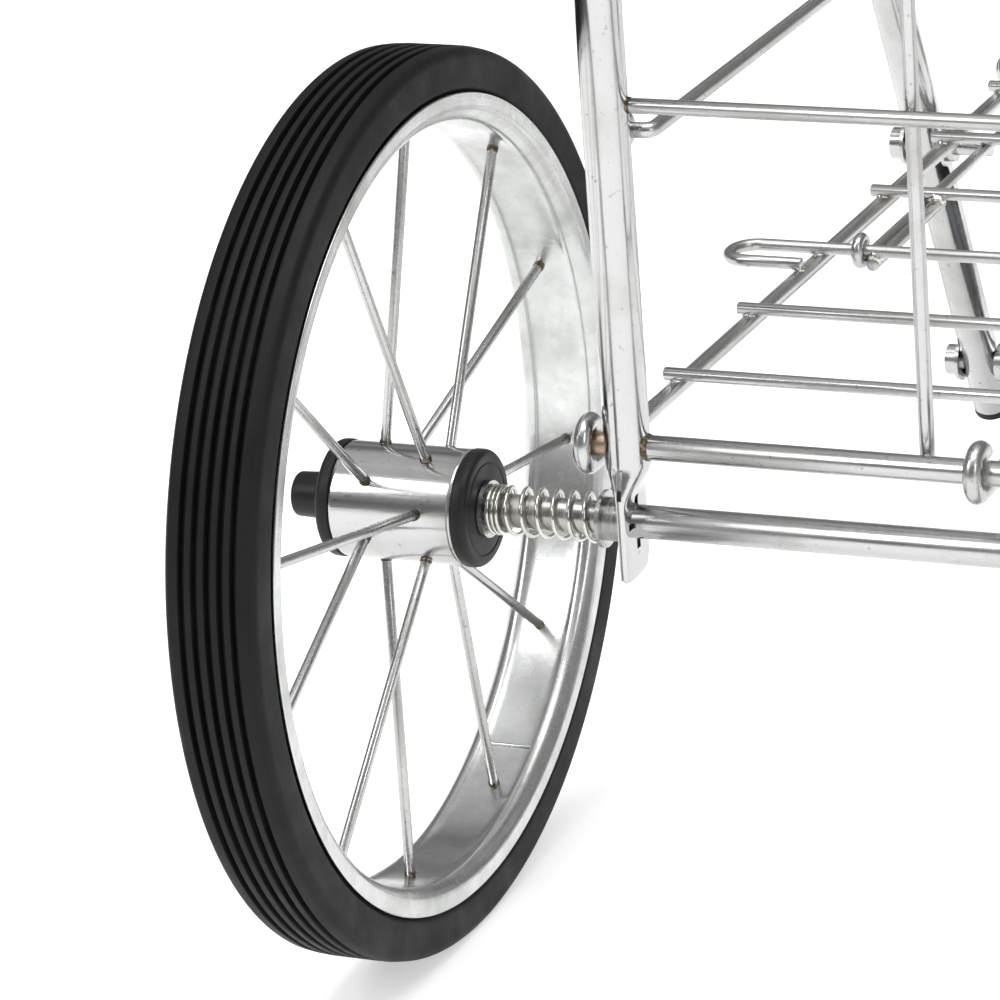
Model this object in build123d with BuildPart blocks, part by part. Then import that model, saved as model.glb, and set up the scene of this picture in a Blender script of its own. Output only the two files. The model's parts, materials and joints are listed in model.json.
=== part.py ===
"""Folding four-wheel wire shopping cart with large spoked rear wheels.

Millimetres, +Z up, +Y forward (away from the person pushing), +X to the right.
The origin is on the ground under the middle of the cart's outline.
"""
import os
from math import cos, radians, sin, tan

from build123d import *

os.makedirs("parts", exist_ok=True)

# ---------------------------------------------------------------- driving dimensions
TRACK = 550.0            # between the middles of the rear tyres
REAR_R = 127.0           # rear tyre radius
TYRE_W = 26.3            # rear tyre width over the tread
LIP_R = 114.4            # outer radius of the rim's lips
BARREL_R = 108.0         # outer radius of the rim's barrel
RIM_WALL = 1.2           # sheet thickness of the rim
GROOVES = 5              # grooves round the tread
GROOVE_W = 1.7
GROOVE_D = 2.6
SPOKES = 12
SPOKE_R = 1.45
SPOKE_FIRST = 20.0       # angle of the first spoke
SPOKE_ROW = 8.0          # rows of spokes stand this far each side of the hub's middle
HUB_R = 16.3
HUB_LEN = 37.0
HUB_WALL = 1.6
BUSH_R = 16.5
BUSH_FLANGE = 4.2        # thickness of the hub bush's flange
BUSH_BOSS = 1.8          # boss on the outboard flange, for the axle's cap
BOSS_R = 9.5

AXLE_R = 4.7
AXLE_CLEAR = 0.05        # radial running clearance on every pin and axle
CAP_R = 7.0
CAP_LEN = 10.0
CAP_WALL = 2.0
END_PLAY = 0.3           # gap at each end of a wheel's hub
SPRING_R = 6.5           # middle radius of the spring's coil
SPRING_WIRE = 0.6
SPRING_TURNS = 7
WASHER_R = 8.0
WASHER_T = 1.2

LEG_INSET = 66.0         # leg's middle inboard of the tyre's middle
TUBE_R = 6.35
TUBE_WALL = 1.2
TAB_T = 3.0              # flattened end of the leg
TAB_W = 17.0
TAB_TOP = 7.0            # flat begins this far above the axle
ROUND_TOP = 17.0         # tube is round again this far above the axle
TAB_DROP = 16.0          # flat end reaches this far below the axle
LEG_BEND = 35.0
LEG_OVER = 48.0          # top rail stands this far above the fold pivot

ROD_R = 3.5
ROD_UP = 21.7            # cross rod above the axle
WIRE_R = 2.1             # panel wires
FLOOR_WIRE_R = 1.9
STRINGER_R = 2.5
STRINGER_INSET = 55.0
HOOK_INSET = 166.0       # inner stringers
WELD = 0.2               # how far crossing wires sink into each other
EYE_WRAP = 272.0         # degrees that a closed eye goes round its rod
HOOK_WRAP = 235.0
EYE_CLEAR = 0.1
FLOOR_FIRST = 63.5       # first floor wire ahead of the cross rod
FLOOR_PITCH = 59.0
FLOOR_WIRES = 6
LOOP_WIRE = 2            # the wire whose ends turn into finger loops
LOOP_INSET = 30.3
LOOP_W = 16.0
BASKET_D = 372.0
WALL_FIRST = 117.5       # first wall wire above the axle
WALL_PITCH = 95.8
WALL_WIRES = 6
BAR_INSET = 150.0        # first upright wire inboard of the tyre's middle
BAR_COUNT = 4

RAIL_R = 2.2
RAIL_GAP = 0.45          # space between a side rail and the tubes that it passes
RAIL_FIRST = 108.4
RAIL_PITCH = 127.0
RAIL_LEVELS = 4
LUG_W = 6.0
LUG_R = 4.6
FRONT_TOP = 540.0        # front panel's top rail above the axle
FRONT_DROP = 8.0         # front uprights reach this far below the rod

SLANT_INSET = 42.0       # slanted tube's middle inboard of the tyre's middle
STAY_AHEAD = 322.5       # stay bolt ahead of the rear axle
STAY_UP = 9.8            # stay bolt above the rear axle
SLANT = 26.5             # slanted tube's angle from upright
STAY_TO_AXLE = 101.0     # along the slanted tube from stay bolt to front axle
AXLE_TO_END = 20.0
HANDLE_UP = 873.0        # handle above the rear axle
HANDLE_BEND = 60.0
GRIP_R = 13.0
GRIP_LEN = 300.0
BOLT_R = 3.0
BOLT_HEAD_R = 5.2
BOLT_HEAD = 4.0
WASHER_OUT_R = 7.0       # washers under the bolt heads
THIN_NUT = 2.6           # stay bolt's nut, clear of the floor's outer rod
STAY_END_INSET = 64.0    # stay bolt's inboard end
FRONT_INSET = 84.0       # front wheel's middle
FRONT_W = 22.0
FRONT_CORE_R = 33.0
FRONT_HUB_R = 9.0
LATCH_INSET = 69.0
LATCH_R = 1.75
LATCH_STOP = 4.4         # stop wire stands this far inboard of the latch rod

# ---------------------------------------------------------------- derived places
SLANT_RAD = radians(SLANT)
FRONT_AHEAD = STAY_AHEAD + STAY_TO_AXLE * sin(SLANT_RAD)
FRONT_UP = STAY_UP - STAY_TO_AXLE * cos(SLANT_RAD)
FRONT_R = REAR_R + FRONT_UP
PIVOT_UP = STAY_UP + STAY_AHEAD / tan(SLANT_RAD)
LEG_TOP = PIVOT_UP + LEG_OVER
AXLE_Y = -(FRONT_AHEAD + FRONT_R - REAR_R) / 2
AXLE_Z = REAR_R
HALF = TRACK / 2
RAIL_INSET = LEG_INSET + TUBE_R + RAIL_R + RAIL_GAP
LUG_AHEAD = TUBE_R + RAIL_R + RAIL_GAP  # rail pins, ahead of the uprights' middles
LEG_X = HALF - LEG_INSET
SLANT_X = HALF - SLANT_INSET
STRINGER_X = HALF - STRINGER_INSET
RAIL_X = HALF - RAIL_INSET
LATCH_X = HALF - LATCH_INSET
FRONT_X = HALF - FRONT_INSET
ROD_END_X = SLANT_X - TUBE_R - 1.9
EYE_R = ROD_R + EYE_CLEAR + STRINGER_R
STRINGER_UP = ROD_UP - EYE_R
CROSS_UP = STRINGER_UP + STRINGER_R + FLOOR_WIRE_R - WELD
WASHER_X = HALF - HUB_LEN / 2 - BUSH_FLANGE
CAP_X = HALF + HUB_LEN / 2 + BUSH_FLANGE + BUSH_BOSS + END_PLAY
SPRING_X = WASHER_X - WASHER_T
SEAT_X = LEG_X + TAB_T / 2 + 5.5
SIDES = (("left", -1), ("right", 1))


def at(x, ahead, up):
    """A point from the cart's middle, the rear axle's line and its height."""
    return Vector(x, AXLE_Y + ahead, AXLE_Z + up)


def across(x, ahead, up):
    """A sketch plane facing +X."""
    return Plane(origin=at(x, ahead, up), x_dir=(0, 1, 0), z_dir=(1, 0, 0))


def save(part, name):
    part.label = name
    export_step(part, f"parts/{name}.step")


def join(*parts):
    """Separate solids kept together as one node."""
    solids = [solid for part in parts for solid in part.solids()]
    return Compound(children=solids)


def cylinder_x(x0, x1, ahead, up, radius, bore=0.0):
    """A cylinder along X between two x places, with an optional bore."""
    with BuildPart() as body:
        with BuildSketch(across(min(x0, x1), ahead, up)):
            Circle(radius)
            if bore:
                Circle(bore, mode=Mode.SUBTRACT)
        extrude(amount=abs(x1 - x0))
    return body.part


def swept(path, radius, bore=0.0):
    """Round bar or tube along one wire."""
    with BuildPart() as body:
        with BuildSketch(Plane(origin=path @ 0, z_dir=path % 0)):
            Circle(radius)
            if bore:
                Circle(bore, mode=Mode.SUBTRACT)
        sweep(path=path)
    return body.part


def route(points, bend):
    """Straight runs, joined by bends where a radius is given."""
    with BuildLine() as path:
        if bend:
            FilletPolyline(*points, radius=bend)
        else:
            Polyline(*points)
    return path.wires()[0]


def wire(points, radius, bend=0.0):
    return swept(route(points, bend), radius)


def tube(points, bend):
    return swept(route(points, bend), TUBE_R, TUBE_R - TUBE_WALL)


def round_pin(x, ahead, up, radius, angle):
    """A point on a circle about a pin that lies along X."""
    return at(x, ahead + radius * cos(radians(angle)), up + radius * sin(radians(angle)))


# ---------------------------------------------------------------- rear wheels
def turned(x, ahead, up, build_profile):
    """Turn a profile, drawn as (radius, x offset), about the wheel's axis."""
    plane = Plane(origin=at(x, ahead, up), x_dir=(0, 0, 1), z_dir=(0, -1, 0))
    with BuildPart() as body:
        with BuildSketch(plane):
            add(build_profile())
        revolve(axis=Axis(at(x, ahead, up), (1, 0, 0)))
    return body.part


def tyre_profile():
    """Solid rubber section with a grooved tread."""
    seat = TYRE_W / 2 - RIM_WALL
    edge = TYRE_W / 2
    crown = 1.2
    pitch = (TYRE_W - 4.0) / (GROOVES + 1)
    places = [(REAR_R, (i - (GROOVES - 1) / 2) * pitch) for i in range(GROOVES)]
    with BuildSketch() as section:
        with BuildLine():
            Polyline(
                (BARREL_R, -seat + 0.1), (LIP_R + 0.2, -seat + 0.1), (LIP_R + 1.2, -edge),
                (REAR_R - crown - 2.0, -edge), (REAR_R - crown, -edge + 2.0), (REAR_R, -edge / 2),
                (REAR_R, edge / 2), (REAR_R - crown, edge - 2.0), (REAR_R - crown - 2.0, edge),
                (LIP_R + 1.2, edge), (LIP_R + 0.2, seat - 0.1), (BARREL_R, seat - 0.1), close=True,
            )
        make_face()
        with Locations(*places):
            Rectangle(2 * GROOVE_D, GROOVE_W, mode=Mode.SUBTRACT)
    return section.sketch


def rim_profile():
    """Rolled channel: a barrel with a lip standing up at each side."""
    edge = TYRE_W / 2 + 0.2
    inner = BARREL_R - RIM_WALL
    with BuildSketch() as section:
        with BuildLine():
            Polyline(
                (inner, -edge), (LIP_R, -edge), (LIP_R, -edge + RIM_WALL),
                (BARREL_R - 0.05, -edge + RIM_WALL), (BARREL_R - 0.05, edge - RIM_WALL),
                (LIP_R, edge - RIM_WALL), (LIP_R, edge), (inner, edge), close=True,
            )
        make_face()
    return section.sketch


def hub_shell(x):
    """Plated hub barrel, open at both ends for its bushes."""
    with BuildPart() as body:
        with BuildSketch(across(x - HUB_LEN / 2, 0, 0)):
            Circle(HUB_R)
            Circle(HUB_R - HUB_WALL, mode=Mode.SUBTRACT)
        extrude(amount=HUB_LEN)
    return body.part


def hub_bush(x, face):
    """Moulded bush: a rounded flange outside and a spigot inside the barrel."""
    end = x + face * HUB_LEN / 2
    with BuildPart() as body:
        start = min(end, end + face * BUSH_FLANGE)
        with BuildSketch(across(start, 0, 0)):
            Circle(BUSH_R)
        extrude(amount=BUSH_FLANGE)
        outer = body.edges().filter_by(GeomType.CIRCLE).sort_by(Axis.X)[-1 if face > 0 else 0]
        fillet(outer, 1.2)
        if x * face > 0:
            rim = end + face * BUSH_FLANGE
            with BuildSketch(across(min(rim, rim + face * BUSH_BOSS), 0, 0)):
                Circle(BOSS_R)
            extrude(amount=BUSH_BOSS)
        with BuildSketch(across(min(end, end - face * 9.0), 0, 0)):
            Circle(HUB_R - HUB_WALL - 0.05)
        extrude(amount=9.0)
        with BuildSketch(across(x - HUB_LEN, 0, 0)):
            Circle(AXLE_R + AXLE_CLEAR)
        extrude(amount=2 * HUB_LEN, mode=Mode.SUBTRACT)
    return body.part


def spoke(x, index):
    """One straight spoke from the hub's barrel out to the rim."""
    angle = radians(SPOKE_FIRST + index * 360.0 / SPOKES)
    row = SPOKE_ROW if index % 2 else -SPOKE_ROW
    inboard = -1 if x > 0 else 1
    foot_r = HUB_R - 0.4
    head_r = BARREL_R - RIM_WALL + 0.3
    foot = at(x + inboard * row, foot_r * cos(angle), foot_r * sin(angle))
    head = at(x + inboard * row * 0.15, head_r * cos(angle), head_r * sin(angle))
    return wire([foot, head], SPOKE_R)


def rear_wheel(side, sign):
    x = sign * HALF
    save(turned(x, 0, 0, tyre_profile), f"{side}_rear_tyre")
    save(turned(x, 0, 0, rim_profile), f"{side}_rear_rim")
    save(join(*[spoke(x, i) for i in range(SPOKES)]), f"{side}_rear_spokes")
    save(hub_shell(x), f"{side}_rear_hub")
    save(join(hub_bush(x, 1), hub_bush(x, -1)), f"{side}_hub_bushes")


# ---------------------------------------------------------------- rear axle
def coil_spring(sign):
    """Compression spring held between the hub's washer and the collar at the leg."""
    length = SPRING_X - SEAT_X - WASHER_T - 2 * SPRING_WIRE - 0.6
    x = sign * (SEAT_X + WASHER_T + SPRING_WIRE + 0.3)
    with BuildLine() as line:
        Helix(length / SPRING_TURNS, length, SPRING_R, center=at(x, 0, 0), direction=(sign, 0, 0))
    path = line.wires()[0]
    with BuildPart() as body:
        with BuildSketch(Plane(origin=path @ 0, z_dir=path % 0)):
            Circle(SPRING_WIRE)
        sweep(path=path, is_frenet=True)
    return body.part


def axle_cap(sign):
    """Black push-on cap over the axle's end."""
    root = CAP_X
    with BuildPart() as body:
        with BuildSketch(across(sign * root if sign > 0 else -root - CAP_LEN, 0, 0)):
            Circle(CAP_R)
        extrude(amount=CAP_LEN)
        rims = body.edges().filter_by(GeomType.CIRCLE).sort_by(Axis.X)
        fillet(rims[-1 if sign > 0 else 0], 1.2)
        with BuildSketch(across(sign * root if sign > 0 else -root - CAP_LEN + CAP_WALL, 0, 0)):
            Circle(AXLE_R)
        extrude(amount=CAP_LEN - CAP_WALL, mode=Mode.SUBTRACT)
    return body.part


def rear_axle_set():
    end = CAP_X + CAP_LEN - CAP_WALL
    save(cylinder_x(-end, end, 0, 0, AXLE_R), "rear_axle")
    save(join(axle_cap(-1), axle_cap(1)), "axle_caps")
    washers = []
    for _, sign in SIDES:
        outer = sign * (WASHER_X - END_PLAY)
        inner = sign * SEAT_X
        washers.append(cylinder_x(outer, outer - sign * WASHER_T, 0, 0, WASHER_R, AXLE_R))
        washers.append(cylinder_x(inner, inner + sign * WASHER_T, 0, 0, WASHER_R, AXLE_R))
    save(join(*washers), "spring_washers")
    collars = []
    for _, sign in SIDES:
        foot = sign * (LEG_X + TAB_T / 2)
        collars.append(cylinder_x(foot, sign * SEAT_X, 0, 0, AXLE_R + 1.3, AXLE_R))
    save(join(*collars), "axle_collars")
    for side, sign in SIDES:
        save(coil_spring(sign), f"{side}_axle_spring")


# ---------------------------------------------------------------- rear leg frame
def lug(x, ahead, up):
    """Drilled ear on an upright's front, for a side rail's pin."""
    reach = LUG_AHEAD - TUBE_R + 1.0
    with BuildPart() as body:
        with BuildSketch(across(x - LUG_W / 2, ahead + LUG_AHEAD, up)):
            Circle(LUG_R)
            with Locations((-reach / 2, 0)):
                Rectangle(reach, 2 * LUG_R)
            Circle(RAIL_R + AXLE_CLEAR, mode=Mode.SUBTRACT)
        extrude(amount=LUG_W)
    return body.part


def flattened_foot(x):
    """Lower end of the leg, squeezed from round to a drilled flat tab."""
    with BuildPart() as body:
        with BuildSketch(Plane(origin=at(x, 0, ROUND_TOP))):
            Circle(TUBE_R)
        with BuildSketch(Plane(origin=at(x, 0, TAB_TOP))):
            RectangleRounded(TAB_T, TAB_W, TAB_T / 2 - 0.05)
        loft()
        with BuildSketch(Plane(origin=at(x, 0, TAB_TOP))):
            RectangleRounded(TAB_T, TAB_W, TAB_T / 2 - 0.05)
        extrude(amount=-(TAB_TOP + TAB_DROP))
        with BuildSketch(across(x - TAB_W / 2, TAB_W / 2, -TAB_DROP)):
            with BuildLine():
                Polyline((0.5, -1), (0.5, 6.0), (-6.0, -1), close=True)
            make_face()
        extrude(amount=TAB_W, mode=Mode.SUBTRACT)
        with BuildSketch(across(x - TAB_W / 2, 0, 0)):
            Circle(AXLE_R + AXLE_CLEAR)
        extrude(amount=TAB_W, mode=Mode.SUBTRACT)
    return body.part


def rear_leg_frame():
    """Both legs and the top rail, one bent tube with flattened feet."""
    low = ROUND_TOP
    points = [at(-LEG_X, 0, low), at(-LEG_X, 0, LEG_TOP), at(LEG_X, 0, LEG_TOP), at(LEG_X, 0, low)]
    drills = [(ROD_UP, ROD_R), (PIVOT_UP, BOLT_R + AXLE_CLEAR)]
    with BuildPart() as body:
        add(tube(points, LEG_BEND))
        for _, sign in SIDES:
            add(flattened_foot(sign * LEG_X))
            for level in range(RAIL_LEVELS):
                add(lug(sign * LEG_X, 0, RAIL_FIRST + level * RAIL_PITCH))
        for up, radius in drills:
            add(cylinder_x(-HALF, HALF, 0, up, radius), mode=Mode.SUBTRACT)
        for _, sign in SIDES:
            slit = at(sign * LEG_X, -TUBE_R, ROUND_TOP - 3.0)
            with Locations(slit):
                Box(1.4, 6.0, 8.0, mode=Mode.SUBTRACT)
    return body.part


def panel_wires(ahead, ups, first_bar, low, high):
    """Level wires between two uprights, and the upright wires welded to them."""
    reach = LEG_X - TUBE_R
    levels = [cylinder_x(-reach, reach, ahead, up, WIRE_R) for up in ups]
    pitch = 2 * first_bar / (BAR_COUNT - 1)
    step = 2 * WIRE_R - WELD
    bars = []
    for i in range(BAR_COUNT):
        x = -first_bar + i * pitch
        bars.append(wire([at(x, ahead + step, low), at(x, ahead + step, high)], WIRE_R))
    return join(*levels), join(*bars)


def rear_panel():
    save(rear_leg_frame(), "rear_leg_frame")
    rod = cylinder_x(-ROD_END_X, ROD_END_X, 0, ROD_UP, ROD_R)
    save(rod, "rear_cross_rod")
    ahead = ROD_R + WIRE_R - WELD - (2 * WIRE_R - WELD)
    ups = [WALL_FIRST + i * WALL_PITCH for i in range(WALL_WIRES)]
    top = LEG_TOP - TUBE_R + 0.6
    levels, bars = panel_wires(ahead, ups, HALF - BAR_INSET, ROD_UP - 3.0, top)
    save(levels, "rear_panel_level_wires")
    save(bars, "rear_panel_upright_wires")


# ---------------------------------------------------------------- floor
def stringer(x, wrap):
    """Lengthwise floor rod whose two ends turn up round the cross rods."""
    rear = [round_pin(x, 0, ROD_UP, EYE_R, -90 - wrap * part) for part in (1, 0.5, 0)]
    front = [round_pin(x, BASKET_D, ROD_UP, EYE_R, -90 + wrap * part) for part in (0, 0.5, 1)]
    with BuildLine() as path:
        ThreePointArc(*rear)
        Line(rear[-1], front[0])
        ThreePointArc(*front)
    return swept(path.wires()[0], STRINGER_R)


def floor_wires():
    """Cross wires over the stringers; one ends in a finger loop at each side."""
    pieces = []
    reach = STRINGER_X + 3.2
    for i in range(FLOOR_WIRES):
        ahead = FLOOR_FIRST + i * FLOOR_PITCH
        if i != LOOP_WIRE:
            pieces.append(cylinder_x(-reach, reach, ahead, CROSS_UP, FLOOR_WIRE_R))
            continue
        tip = HALF - LOOP_INSET
        back = ahead - LOOP_W
        ends = STRINGER_X - 1.0
        points = [
            at(-ends, back, CROSS_UP), at(-tip, back, CROSS_UP), at(-tip, ahead, CROSS_UP),
            at(tip, ahead, CROSS_UP), at(tip, back, CROSS_UP), at(ends, back, CROSS_UP),
        ]
        pieces.append(wire(points, FLOOR_WIRE_R, LOOP_W / 2 - 0.5))
    return join(*pieces)


def floor_set():
    rods = []
    for _, sign in SIDES:
        rods.append(stringer(sign * STRINGER_X, EYE_WRAP))
        rods.append(stringer(sign * (HALF - HOOK_INSET), HOOK_WRAP))
    save(join(*rods), "floor_stringers")
    save(floor_wires(), "floor_cross_wires")
    stops = []
    ahead = FLOOR_FIRST + LOOP_WIRE * FLOOR_PITCH
    up = CROSS_UP - 2 * FLOOR_WIRE_R + WELD
    for _, sign in SIDES:
        x = sign * (LATCH_X - LATCH_STOP)
        stops.append(wire([at(x, ahead - 3, up), at(x, ahead + FLOOR_PITCH + 3, up)], FLOOR_WIRE_R))
    save(join(*stops), "latch_stop_wires")


# ---------------------------------------------------------------- latch rods
def latch(sign):
    """Rod that turns on a floor wire, its far end dropped over the stay bolt."""
    x = sign * LATCH_X
    ahead = FLOOR_FIRST + LOOP_WIRE * FLOOR_PITCH
    ring_r = FLOOR_WIRE_R + EYE_CLEAR + LATCH_R
    hook_r = CROSS_UP - ring_r - STAY_UP
    ring = [round_pin(x, ahead, CROSS_UP, ring_r, angle) for angle in (15, 142, 270)]
    hook = [round_pin(x, STAY_AHEAD, STAY_UP, hook_r, angle) for angle in (90, 40, -10)]
    with BuildLine() as path:
        ThreePointArc(*ring)
        Line(ring[-1], hook[0])
        ThreePointArc(*hook)
    return swept(path.wires()[0], LATCH_R)


# ---------------------------------------------------------------- side rails
def side_rail(sign, up):
    """Side rod with both ends turned outboard into the lugs."""
    x = sign * RAIL_X
    pin = sign * (LEG_X + LUG_W / 2 + 1.0)
    points = [
        at(pin, LUG_AHEAD, up), at(x, LUG_AHEAD, up),
        at(x, BASKET_D + LUG_AHEAD, up), at(pin, BASKET_D + LUG_AHEAD, up),
    ]
    return wire(points, RAIL_R, RAIL_R + 0.6)


# ---------------------------------------------------------------- front panel
def front_upright_frame():
    """Bent tube: two uprights and the top rail, drilled for the lower rod."""
    low = ROD_UP - FRONT_DROP
    points = [
        at(-LEG_X, BASKET_D, low), at(-LEG_X, BASKET_D, FRONT_TOP),
        at(LEG_X, BASKET_D, FRONT_TOP), at(LEG_X, BASKET_D, low),
    ]
    with BuildPart() as body:
        add(tube(points, LEG_BEND))
        for _, sign in SIDES:
            for level in range(RAIL_LEVELS):
                add(lug(sign * LEG_X, BASKET_D, RAIL_FIRST + level * RAIL_PITCH))
        add(cylinder_x(-HALF, HALF, BASKET_D, ROD_UP, ROD_R), mode=Mode.SUBTRACT)
    return body.part


def front_panel():
    save(front_upright_frame(), "front_panel_frame")
    save(cylinder_x(-ROD_END_X, ROD_END_X, BASKET_D, ROD_UP, ROD_R), "front_lower_rod")
    ups = [RAIL_FIRST + 9.0 + i * RAIL_PITCH for i in range(RAIL_LEVELS)]
    ahead = BASKET_D + ROD_R + WIRE_R - WELD - (2 * WIRE_R - WELD)
    top = FRONT_TOP - TUBE_R + 0.6
    levels, bars = panel_wires(ahead, ups, HALF - BAR_INSET, ROD_UP - 3.0, top)
    save(levels, "front_panel_level_wires")
    save(bars, "front_panel_upright_wires")


# ---------------------------------------------------------------- handle frame
def along_slant(distance):
    """Ahead and up of a point on the slanted tube, measured down from the stay bolt."""
    return (STAY_AHEAD + distance * sin(SLANT_RAD), STAY_UP - distance * cos(SLANT_RAD))


def handle_frame_tube():
    """One bent tube: slanted side tubes and the handle bar across the top."""
    foot = along_slant(STAY_TO_AXLE + AXLE_TO_END)
    top = along_slant(-(HANDLE_UP - STAY_UP) / cos(SLANT_RAD))
    points = [at(-SLANT_X, *foot), at(-SLANT_X, *top), at(SLANT_X, *top), at(SLANT_X, *foot)]
    drills = [(STAY_AHEAD, STAY_UP), (FRONT_AHEAD, FRONT_UP), (0, PIVOT_UP)]
    with BuildPart() as body:
        add(tube(points, HANDLE_BEND))
        for ahead, up in drills:
            for _, sign in SIDES:
                outer = sign * (SLANT_X + 2 * TUBE_R)
                inner = sign * (SLANT_X - 2 * TUBE_R)
                add(cylinder_x(inner, outer, ahead, up, BOLT_R), mode=Mode.SUBTRACT)
    return body.part


def grip():
    """Soft sleeve over the handle bar."""
    ahead, up = along_slant(-(HANDLE_UP - STAY_UP) / cos(SLANT_RAD))
    with BuildPart() as body:
        with BuildSketch(across(-GRIP_LEN / 2, ahead, up)):
            Circle(GRIP_R)
            Circle(TUBE_R + 0.05, mode=Mode.SUBTRACT)
        extrude(amount=GRIP_LEN)
        rims = body.edges().filter_by(GeomType.CIRCLE).group_by(SortBy.RADIUS)[-1]
        fillet(rims, 3.0)
    return body.part


def tube_plug(sign):
    """Black plug in the slanted tube's lower end."""
    foot = along_slant(STAY_TO_AXLE + AXLE_TO_END)
    down = Vector(0, sin(SLANT_RAD), -cos(SLANT_RAD))
    face = Plane(origin=at(sign * SLANT_X, *foot), x_dir=(1, 0, 0), z_dir=down)
    with BuildPart() as body:
        with BuildSketch(face):
            Circle(TUBE_R - 0.1)
        extrude(amount=2.5)
        with BuildSketch(face):
            Circle(TUBE_R - TUBE_WALL - 0.05)
        extrude(amount=-8.0)
    return body.part


def bolt(x_head, x_end, ahead, up):
    """Bolt lying across the cart: round head, shank and nut."""
    turn = 1 if x_end > x_head else -1
    with BuildPart() as body:
        add(cylinder_x(x_head, x_head + turn * BOLT_HEAD, ahead, up, BOLT_HEAD_R))
        add(cylinder_x(x_head + turn * BOLT_HEAD, x_end, ahead, up, BOLT_R - 0.02))
    return body.part


def bolts_and_washers():
    head = SLANT_X + TUBE_R + WASHER_T + BOLT_HEAD
    stay_end = HALF - STAY_END_INSET
    stays = []
    pivots = []
    washers = []
    nuts = []
    spacers = []
    for _, sign in SIDES:
        outer = sign * (SLANT_X + TUBE_R)
        inner = sign * (SLANT_X - TUBE_R)
        nut = inner - sign * WASHER_T
        stays.append(bolt(sign * head, sign * stay_end, STAY_AHEAD, STAY_UP))
        pivots.append(bolt(sign * head, sign * (LEG_X - TUBE_R - BOLT_HEAD), 0, PIVOT_UP))
        for ahead, up in ((STAY_AHEAD, STAY_UP), (0, PIVOT_UP), (FRONT_AHEAD, FRONT_UP)):
            washers.append(cylinder_x(outer, outer + sign * WASHER_T, ahead, up, WASHER_OUT_R, BOLT_R))
        nuts.append(cylinder_x(nut, nut - sign * THIN_NUT, STAY_AHEAD, STAY_UP, BOLT_HEAD_R, BOLT_R))
        washers.append(cylinder_x(nut, inner, STAY_AHEAD, STAY_UP, WASHER_OUT_R, BOLT_R))
        end = sign * (LEG_X - TUBE_R - 0.3)
        nuts.append(cylinder_x(end, end - sign * (BOLT_HEAD - 0.3), 0, PIVOT_UP, BOLT_HEAD_R, BOLT_R))
        spacers.append(cylinder_x(inner, sign * (LEG_X + TUBE_R + 0.3), 0, PIVOT_UP, 5.5, BOLT_R))
    save(join(*stays), "stay_bolts")
    save(join(*pivots), "pivot_bolts")
    save(join(*washers), "bolt_washers")
    save(join(*nuts), "bolt_nuts")
    save(join(*spacers), "pivot_spacers")


# ---------------------------------------------------------------- front wheels
def front_tyre_profile():
    edge = FRONT_W / 2
    with BuildSketch() as section:
        with BuildLine():
            Polyline(
                (FRONT_CORE_R, -edge + 2.0), (FRONT_R - 5.0, -edge), (FRONT_R - 1.0, -edge + 3.0),
                (FRONT_R, -3.0), (FRONT_R, 3.0), (FRONT_R - 1.0, edge - 3.0),
                (FRONT_R - 5.0, edge), (FRONT_CORE_R, edge - 2.0), close=True,
            )
        make_face()
    return section.sketch


def front_core_profile():
    edge = FRONT_W / 2
    outer = FRONT_CORE_R - 0.05
    bore = BOLT_R + 1.0 + AXLE_CLEAR
    with BuildSketch() as section:
        with BuildLine():
            Polyline(
                (bore, -edge - 3.0), (FRONT_HUB_R, -edge - 3.0), (FRONT_HUB_R, -3.0),
                (outer - 5.0, -3.0), (outer - 5.0, -edge + 2.0), (outer, -edge + 2.0),
                (outer, edge - 2.0), (outer - 5.0, edge - 2.0), (outer - 5.0, 3.0),
                (FRONT_HUB_R, 3.0), (FRONT_HUB_R, edge + 3.0), (bore, edge + 3.0), close=True,
            )
        make_face()
    return section.sketch


def front_axle():
    """Rod through both slanted tubes, thicker between them, with round heads."""
    head = SLANT_X + TUBE_R + WASHER_T
    with BuildPart() as body:
        inner = SLANT_X - TUBE_R
        add(cylinder_x(-inner, inner, FRONT_AHEAD, FRONT_UP, BOLT_R + 1.0))
        add(cylinder_x(-head, head, FRONT_AHEAD, FRONT_UP, BOLT_R - 0.02))
        for _, sign in SIDES:
            add(cylinder_x(sign * head, sign * (head + BOLT_HEAD), FRONT_AHEAD, FRONT_UP, BOLT_HEAD_R))
    return body.part


def front_wheel(side, sign):
    x = sign * FRONT_X
    save(turned(x, FRONT_AHEAD, FRONT_UP, front_tyre_profile), f"{side}_front_tyre")
    save(turned(x, FRONT_AHEAD, FRONT_UP, front_core_profile), f"{side}_front_wheel")


def front_axle_set():
    save(front_axle(), "front_axle")
    spacers = []
    core = FRONT_W / 2 + 3.0 + 0.3
    for _, sign in SIDES:
        outer = sign * (SLANT_X - TUBE_R)
        spacers.append(cylinder_x(outer, sign * (FRONT_X + core), FRONT_AHEAD, FRONT_UP, 6.5, BOLT_R + 1))
        inner = sign * (FRONT_X - core)
        spacers.append(cylinder_x(inner, inner - sign * 6.0, FRONT_AHEAD, FRONT_UP, 6.5, BOLT_R + 1))
    save(join(*spacers), "front_axle_spacers")


# ---------------------------------------------------------------- build
for side, sign in SIDES:
    rear_wheel(side, sign)
    front_wheel(side, sign)
    save(latch(sign), f"{side}_latch_rod")
    for level in range(RAIL_LEVELS):
        up = RAIL_FIRST + level * RAIL_PITCH
        save(side_rail(sign, up), f"{side}_side_rail_{level + 1}")
rear_axle_set()
rear_panel()
floor_set()
front_panel()
save(handle_frame_tube(), "handle_tube")
save(grip(), "handle_grip")
save(join(tube_plug(-1), tube_plug(1)), "tube_end_plugs")
bolts_and_washers()
front_axle_set()
print("rear axle y", round(AXLE_Y, 3), "pivot up", round(PIVOT_UP, 3), "front wheel r", round(FRONT_R, 3))
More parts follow.
